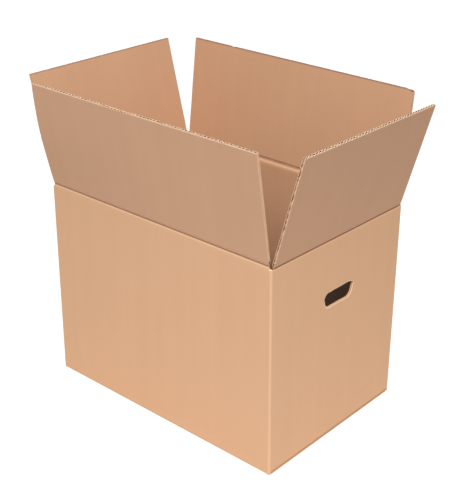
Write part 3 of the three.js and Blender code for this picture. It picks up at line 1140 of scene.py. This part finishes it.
@dataclass
class Flap:
    """A top flap: two liners with a winding fluted sheet between them, open along its free edge.

    Its own frame has the hinge line along x, the depth into the board as y and the way up the
    flap as z. The two liners come together at the pressed crease.
    """

    name: str
    wall: Wall
    depth: float
    lean: float
    top: Edge
    ends: tuple[Edge, Edge]
    seed: int
    bow: Bow = Bow()
    flare: tuple[float, float] = (0.0, 0.0)  # how far each end slants out towards the free edge
    flare_power: float = 0.45  # below 1, so that it slants most beside the crease
    column_step: float = 1.7
    flute_steps: int = 10
    cut_zone: float = 5.0  # the cut edges' roughness fades out over this distance
    hollow_from: float = 9.0  # the fluted sheet starts this far up the flap
    medium_step: float = 2.1  # between the points of the fluted sheet's rough top
    medium_inset: float = 1.2  # from the flap's end to the fluted sheet
    medium_gap: float = 0.03  # between the fluted sheet's crests and the liners
    medium_rough: float = 0.9  # by this much its top is rougher than the liners' edge
    medium_zone: float = 6.0  # its roughness fades out over this distance
    medium_bared: tuple[float, float] = (3.0, 2.0)  # its light top starts here and fades in
    web_inset: float = 0.35
    web_thick: float = 0.4
    web_bulge: float = 0.5
    web_gap: float = 0.02  # to the liners
    tear_step: float = 3.3
    tear_least: float = 0.3  # the fluted sheet is torn back by at least this share
    worn_and_painted_light: tuple[float, float] = (2.4, 1.6)  # the free edge's tone starts here and fades in
    liner_painted_highlight: float = 0.9  # painted highlight on the inner liner beside the crease
    layers_painted_shade: float = -0.8  # painted shade on the board's inner layers, between the liners
    score_painted_shade: float = 1.2  # how dark the painted shade line along the crease is outside
    score_up: float = 0.3  # and how far above the hinge line it lies
    fold_wide: float = 0.6  # width of the painted shade line inside
    fold_painted_shade: float = 0.7  # and how dark it is
    inner_crease_painted_highlight: float = 0.5  # painted highlight on the crease inside, beside its line

    @property
    def half(self) -> float:
        """Half the flap's length."""
        return self.wall.run - TOP_SLOT

    def place(self, along: Array, into: Array, up: Array) -> Array:
        """Turns places in the flap's own frame into points of the box, leaning outwards.

        Args:
            along: distance along the hinge from its middle.
            into: depth into the board.
            up: distance up the flap.

        Returns:
            The points.
        """
        along, into, up = np.broadcast_arrays(along, into, up)
        first, last = self.flare
        share = np.clip(0.5 + along / (2 * self.half), 0.0, 1.0)
        grown = np.clip((up - FLAP_EASE) / self.depth, 0.0, 1.0) ** self.flare_power
        along = along + (last * share - first * (1 - share)) * grown
        into = into - self.bow.out(along, up, self.half, self.depth)
        angle = radians(self.lean)
        out = self.wall.out - (into * cos(angle) - up * sin(angle))
        height = self.wall.crease + into * sin(angle) + up * cos(angle)
        return self.wall.place(along, out, height)

    def outline(self, along: Array, up: Array, seed: int) -> tuple[Array, Array]:
        """Moves a flat grid's outer columns and top rows in to the roughly cut edges.

        Args:
            along: (rows, columns) places along the hinge.
            up: (rows, columns) places up the flap.
            seed: seed of the edges' roughness.

        Returns:
            The same, moved.
        """
        near = self.cut_zone
        first, last = self.ends
        cut_first = first.line(up[:, 0], seed + 1)[:, None]
        cut_last = last.line(up[:, 0], seed + 2)[:, None]
        pull_first = np.clip((near - self.half - along) / near, 0.0, 1.0)
        pull_last = np.clip((near - self.half + along) / near, 0.0, 1.0)
        moved = along + cut_first * pull_first - cut_last * pull_last
        cut_top = self.top.line(along[0], seed)[None, :]
        pull_top = np.clip((near - self.depth + up) / near, 0.0, 1.0)
        return moved, up - cut_top * pull_top

    def sheet(self, along: Array, up: Array) -> Array:
        """Places on the flat sheet."""
        return np.stack([self.wall.start + along, self.wall.crease + up], axis=-1)

    def shell(
        self, surface: Surface, along: Array, near: Array, far: Array, up: Array, faces: list[Face]
    ) -> None:
        """Adds a closed thin sheet, with the edge's tone at its free edge (painted shade if below
        0).

        Args:
            surface: the surface that takes it.
            along: (rows, columns) places along the hinge.
            near: depth of its outer side.
            far: depth of its inner side.
            up: (rows, columns) places up the flap.
            faces: what its outer side and its inner side show.
        """
        sides = [self.place(along, near, up), self.place(along, far, up)]
        sheet = self.sheet(along, up)
        start, fade = self.worn_and_painted_light
        wear_and_painted_light = self.top.tone * np.clip((up - self.depth + start) / fade, 0.0, 1.0)
        # the liners' inner sides get painted shade
        tones = [self.layers_painted_shade if face is Face.CUT else wear_and_painted_light for face in faces]
        if faces[1] is Face.INSIDE:
            # painted highlight on the inner liner beside the crease
            tones[1] = wear_and_painted_light + self.liner_painted_highlight * (up < FLAP_EASE - NEAR)
        surface.grid(sides[0], sheet, faces[0], tones[0])
        surface.grid(sides[1], sheet, faces[1], tones[1], flip=True)
        surface.rim(sides, sheet, Face.CUT, self.top.tone, flip=True)

    def liners(self, surface: Surface) -> None:
        """Adds the outer and the inner liner, each easing from the crease to its full depth."""
        rows = spread(
            (LIP, 0),
            (8.0, 1.5),
            (40.0, 11.0),
            (self.depth - 24, 20.0),
            (self.depth - 5, 6.0),
            (self.depth, 1.7),
        )
        columns = spread((-self.half, 0), (self.half, self.column_step))
        along, up = np.meshgrid(columns, rows)
        eased_out = np.interp(up, [LIP, OUTER_EASE], [LIP_OUTER, 0.0])
        eased_in = np.interp(up, [LIP, FLAP_EASE], [LIP_INNER, BOARD])
        moved, raised = self.outline(along, up, self.seed)
        faces = [Face.OUTSIDE, Face.CUT]
        self.shell(surface, moved, eased_out, eased_out + LINER, raised, faces)
        moved, raised = self.outline(along, up, self.seed + INNER_LINER_SEED)
        faces = [Face.CUT, Face.INSIDE]
        self.shell(surface, moved, eased_in - LINER, eased_in, raised, faces)

    def medium(self, surface: Surface) -> None:
        """Adds the fluted sheet, a cosine along the hinge carried up the flap.

        Its two sides stand half its thickness off the cosine, square to it.
        """
        first, last = (self.medium_inset + edge.torn for edge in self.ends)
        columns = spread((-self.half + first, 0), (self.half - last, FLUTE / self.flute_steps))
        rows = spread((self.hollow_from, 0), (self.depth - 12, 60.0), (self.depth - 0.4, 2.4))
        along, up = np.meshgrid(columns, rows)
        rate = 2 * pi / FLUTE
        swing = BOARD / 2 - LINER - MEDIUM / 2 - self.medium_gap
        slope = -swing * rate * np.sin(rate * along)
        long = np.hypot(1.0, slope)
        middle = BOARD / 2 + swing * np.cos(rate * along)
        rough = self.medium_rough + self.top.rough
        short = ragged(columns, self.seed + MEDIUM_SEED, self.medium_step, rough)
        zone = self.medium_zone
        up = up - short[None, :] * np.clip((up - (self.depth - zone)) / zone, 0.0, 1.0)
        sides = [
            self.place(along - step * slope / long, middle + step / long, up)
            for step in (-MEDIUM / 2, MEDIUM / 2)
        ]
        sheet = self.sheet(along, up)
        start, fade = self.medium_bared
        bared = np.clip((up - self.depth + start) / fade, 0.0, 1.0)
        # painted shade on the fluted sheet below its bared top
        wear_and_painted_light = self.layers_painted_shade + (self.top.tone - self.layers_painted_shade) * bared
        surface.grid(sides[0], sheet, Face.CUT, wear_and_painted_light)
        surface.grid(sides[1], sheet, Face.CUT, wear_and_painted_light, flip=True)
        surface.rim(sides, sheet, Face.CUT, self.top.tone, flip=True)

    def webs(self, surface: Surface) -> None:
        """Closes the slot edges with the crushed side of the last flute, half a wave deep."""
        inset = LINER + self.web_gap
        into = np.linspace(inset, BOARD - inset, 6)
        rows = spread((self.hollow_from, 0), (self.depth - 1.5, 4.0))
        depth, up = np.meshgrid(into, rows)
        hollow = self.web_bulge * np.sin(pi * (depth - into[0]) / (into[-1] - into[0]))
        for end, edge in zip((-1, 1), self.ends):
            rough = edge.line(rows, self.seed + WEB_SEED + end)
            tears = ragged(rows, self.seed + TEAR_SEED + end, self.tear_step, 1.0)
            torn = self.tear_least + (1 - self.tear_least) * tears
            rough = (rough + edge.torn * torn)[:, None]
            back = self.web_inset + rough + hollow
            sides = [
                self.place(end * (self.half - back - thick), depth, up)
                for thick in (0.0, self.web_thick)
            ]
            sheet = np.stack([self.wall.start + depth, up], axis=-1)
            flip = end < 0
            surface.grid(sides[0], sheet, Face.CUT, 0.1, flip=flip)
            surface.grid(sides[1], sheet, Face.CUT, flip=not flip)
            surface.rim(sides, sheet, Face.CUT, flip=not flip)

    def crease(self, materials: list[bpy.types.Material]) -> bpy.types.Object:
        """Makes the pressed crease that bridges the hinge line, bending from wall to flap.

        A point is turned about the hinge line by the lean times a smooth share of its height.

        Args:
            materials: what the outside, the inside and the cut edges are made of.

        Returns:
            The crease's object.
        """
        rows = np.linspace(-LIP, LIP, 15)
        columns = spread((-self.half, 0), (self.half, 20.0))
        angle = radians(self.lean) * smooth(rows, -LIP, LIP)
        surface = Surface(f"{self.name}_crease")
        sides = []
        for depth in (LIP_OUTER, LIP_INNER):
            into = depth * np.cos(angle) - rows * np.sin(angle)
            height = depth * np.sin(angle) + rows * np.cos(angle)
            out = (self.wall.out - into)[:, None]
            sides.append(self.wall.place(columns, out, (self.wall.crease + height)[:, None]))
        sheet = self.sheet(*np.meshgrid(columns, rows))
        up = rows[:, None]
        score = SHORT_SCORE if self.wall.is_short else LONG_SCORE
        # painted shade along the crease outside, where its groove lies in shade
        dark = self.score_painted_shade * np.exp(-(((up - self.score_up) / score) ** 2))
        surface.grid(sides[0], sheet, Face.OUTSIDE, -dark)
        # inside, a painted shade line along the fold with a painted highlight beside it
        line = np.exp(-((up / self.fold_wide) ** 2))
        tone = self.inner_crease_painted_highlight - self.fold_painted_shade * line
        surface.grid(sides[1], sheet, Face.INSIDE, tone, flip=True)
        surface.rim(sides, sheet, Face.CUT, flip=True)
        obj = surface.build(materials)
        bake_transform(obj)
        return obj

    def build(self, materials: list[bpy.types.Material]) -> bpy.types.Object:
        """Makes the flap, standing for its node of the frame.

        Args:
            materials: what the outside, the inside and the cut edges are made of.

        Returns:
            The flap's object.
        """
        surface = Surface(f"{self.name}_board")
        self.liners(surface)
        self.medium(surface)
        self.webs(surface)
        obj = surface.build(materials)
        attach(obj, self.name)
        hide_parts(self.name)
        return obj


@dataclass
class Camera:
    """The camera, told by where it stands and how it is turned."""

    location: tuple[float, float, float] = (1.3812, -1.5273, 1.2828)
    yaw: float = 41.755
    pitch: float = 25.355
    roll: float = 0.345
    lens: float = 79.95

    def build(self) -> bpy.types.Object:
        """Makes the camera. It looks down by the pitch, towards the yaw counted from +Y.

        Returns:
            The camera's object.
        """
        yaw, pitch, roll = radians(self.yaw), radians(self.pitch), radians(self.roll)
        forward = Vector((-sin(yaw) * cos(pitch), cos(yaw) * cos(pitch), -sin(pitch)))
        right = Vector((cos(yaw), sin(yaw), 0.0))
        up = right.cross(forward)
        x_axis = cos(roll) * right + sin(roll) * up
        y_axis = -sin(roll) * right + cos(roll) * up
        data = bpy.data.cameras.new("camera")
        data.lens = self.lens
        data.clip_start = 0.05
        camera = bpy.data.objects.new("camera", data)
        turn = Matrix((x_axis, y_axis, -forward)).transposed().to_4x4()
        camera.matrix_world = Matrix.Translation(self.location) @ turn
        bpy.context.scene.collection.objects.link(camera)
        bpy.context.scene.camera = camera
        return camera


@dataclass
class Studio:
    """A white studio: a pale floor, a white surround and one wide soft lamp overhead.

    The floor's white falls from one share to the other over the distances in sheet_reach. The
    camera sees it lifted to white by a glow, with a faint shadow left.
    """

    floor_size: float = 40.0
    sheet_reach: tuple[float, float] = (0.75, 1.7)
    sheet_white: tuple[float, float] = (0.93, 0.3)
    seen_white: float = 0.34
    seen_glow: float = 0.85
    sky: float = 0.4
    lamp_size: float = 2.2
    lamp_power: float = 160.0
    lamp_place: tuple[float, float, float] = (1.75, -1.95, 3.35)
    lamp_aim: tuple[float, float, float] = (0.0, 0.0, 0.3)

    def build(self) -> None:
        """Makes the floor, the surround and the lamp."""
        self.floor()
        self.surround()
        self.lamp()
        scene = bpy.context.scene
        scene.view_settings.view_transform = "Standard"

    def floor(self) -> None:
        """Makes the floor, white round the box and dimmer further out."""
        size = self.floor_size / 2
        mesh = bpy.data.meshes.new("floor")
        corners = [(-size, -size, 0.0), (size, -size, 0.0), (size, size, 0.0), (-size, size, 0.0)]
        mesh.from_pydata(corners, [], [(0, 1, 2, 3)])
        graph = Graph("floor_white")
        seen = graph.node("ShaderNodeLightPath").outputs["Is Camera Ray"]
        place = graph.node("ShaderNodeTexCoord").outputs["Object"]
        away = graph.node("ShaderNodeVectorMath", operation="LENGTH", Vector=place)
        near, far = self.sheet_reach
        bright, dim = self.sheet_white
        white = graph.node(
            "ShaderNodeMapRange",
            **{
                "interpolation_type": "SMOOTHSTEP",
                "Value": away.outputs["Value"],
                "From Min": near,
                "From Max": far,
                "To Min": bright,
                "To Max": dim,
            },
        )
        plain = graph.node("ShaderNodeBsdfDiffuse", Color=white.outputs["Result"])
        shade = graph.node("ShaderNodeBsdfDiffuse", Color=(*[self.seen_white] * 3, 1.0))
        glow = graph.node("ShaderNodeEmission", Color=(1.0, 1.0, 1.0, 1.0), Strength=self.seen_glow)
        lifted = graph.tree.nodes.new("ShaderNodeAddShader")
        graph.tree.links.new(shade.outputs[0], lifted.inputs[0])
        graph.tree.links.new(glow.outputs[0], lifted.inputs[1])
        mix = graph.tree.nodes.new("ShaderNodeMixShader")
        graph.tree.links.new(seen, mix.inputs[0])
        graph.tree.links.new(plain.outputs[0], mix.inputs[1])
        graph.tree.links.new(lifted.outputs[0], mix.inputs[2])
        graph.surface(mix.outputs[0])
        mesh.materials.append(graph.material)
        floor = bpy.data.objects.new("floor", mesh)
        bpy.context.scene.collection.objects.link(floor)
        floor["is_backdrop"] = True

    def surround(self) -> None:
        """Makes the surround: white to the camera and in reflections, else a plain even light."""
        world = bpy.data.worlds.new("surround")
        bpy.context.scene.world = world
        world.use_nodes = True
        tree = world.node_tree
        tree.nodes.clear()
        path = tree.nodes.new("ShaderNodeLightPath")
        seen = tree.nodes.new("ShaderNodeMath")
        seen.operation = "MAXIMUM"
        tree.links.new(path.outputs["Is Camera Ray"], seen.inputs[0])
        tree.links.new(path.outputs["Is Glossy Ray"], seen.inputs[1])
        light = tree.nodes.new("ShaderNodeBackground")
        light.inputs["Strength"].default_value = self.sky
        light.inputs["Color"].default_value = (1.0, 1.0, 1.0, 1.0)
        white = tree.nodes.new("ShaderNodeBackground")
        white.inputs["Color"].default_value = (1.0, 1.0, 1.0, 1.0)
        mix = tree.nodes.new("ShaderNodeMixShader")
        tree.links.new(seen.outputs[0], mix.inputs[0])
        tree.links.new(light.outputs[0], mix.inputs[1])
        tree.links.new(white.outputs[0], mix.inputs[2])
        output = tree.nodes.new("ShaderNodeOutputWorld")
        tree.links.new(mix.outputs[0], output.inputs["Surface"])

    def lamp(self) -> None:
        """Makes the wide soft lamp, turned towards the box."""
        data = bpy.data.lights.new("softbox", "AREA")
        data.shape = "SQUARE"
        data.size = self.lamp_size
        data.energy = self.lamp_power
        lamp = bpy.data.objects.new("softbox", data)
        lamp.location = self.lamp_place
        aim = Vector(self.lamp_aim) - Vector(self.lamp_place)
        lamp.rotation_euler = aim.to_track_quat("-Z", "Y").to_euler()
        bpy.context.scene.collection.objects.link(lamp)


OUTSIDE = Kraft("kraft_outside", (211, 167, 131), (242, 208, 172), (132, 88, 60))
# the flaps' outer face: the walls' outside colour darkened, painted shade for their lean away from
# the light above
FLAP_OUTSIDE_SHADED = Kraft("flap_outside_shaded", (200, 157, 126), (242, 208, 172), (128, 86, 60))
# the inside's pressed colour is the painted shade deep in the box and through the hand holes
INSIDE = Kraft("kraft_inside", (204, 159, 125), (230, 190, 152), (92, 78, 71))
CUT = Kraft(
    "cut_board", (206, 162, 124), (250, 222, 192), (150, 104, 74), fibre=0.22, stripe=0.0
)

FLAPS = (
    Flap(
        "front_flap",
        Wall.FRONT,
        LONG_DEPTH,
        lean=10.0,
        top=Edge(0.6, 3.1, (Nick(-45.0, 66.0, 2.0), Nick(211.0, 8.0, 1.8)), teeth=0.4),
        ends=(Edge(0.4), Edge(0.15)),
        seed=11,
        bow=Bow(bulge=6.0, high=0.56, side=-1.0, fade=520.0),
        flare=(2.2, 1.0),
    ),
    Flap(
        "right_flap",
        Wall.RIGHT,
        SHORT_DEPTH,
        lean=15.5,
        top=Edge(0.7, 2.3, teeth=1.4),
        ends=(Edge(1.3, 2.0, torn=4.5), Edge(0.5)),
        seed=12,
    ),
    Flap(
        "back_flap",
        Wall.BACK,
        LONG_DEPTH,
        lean=6.5,
        # a top tone below 0 paints shade along the free edge
        top=Edge(0.35, 4.0, (Nick(177.0, 7.0, 2.0), Nick(-290.0, 36.0, 4.5)), tone=-0.6),
        ends=(Edge(0.4), Edge(0.4)),
        seed=13,
    ),
    Flap(
        "left_flap",
        Wall.LEFT,
        SHORT_DEPTH,
        lean=15.0,
        # a top tone below 0 paints shade along the free edge
        top=Edge(0.35, 4.0, tone=-0.6),
        ends=(Edge(0.4), Edge(0.4)),
        seed=14,
    ),
)


def corners(box: tuple[Vector, Vector]) -> list[list[float]]:
    """The lowest and highest corner as plain lists."""
    return [list(corner) for corner in box]


def main() -> None:
    """Builds the box, its studio and its camera, and measures its size before and after."""
    logging.basicConfig(level=logging.INFO, format="%(message)s")
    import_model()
    before = corners(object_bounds())
    outside, flap_outside_shaded, inside, cut = (
        finish.material() for finish in (OUTSIDE, FLAP_OUTSIDE_SHADED, INSIDE, CUT)
    )
    Carton().build([outside, inside, cut])
    for flap in FLAPS:
        flap.build([flap_outside_shaded, inside, cut])
        flap.crease([flap_outside_shaded, inside, cut])
    Studio().build()
    Camera().build()
    after = corners(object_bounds())


if __name__ == "__main__":
    main()
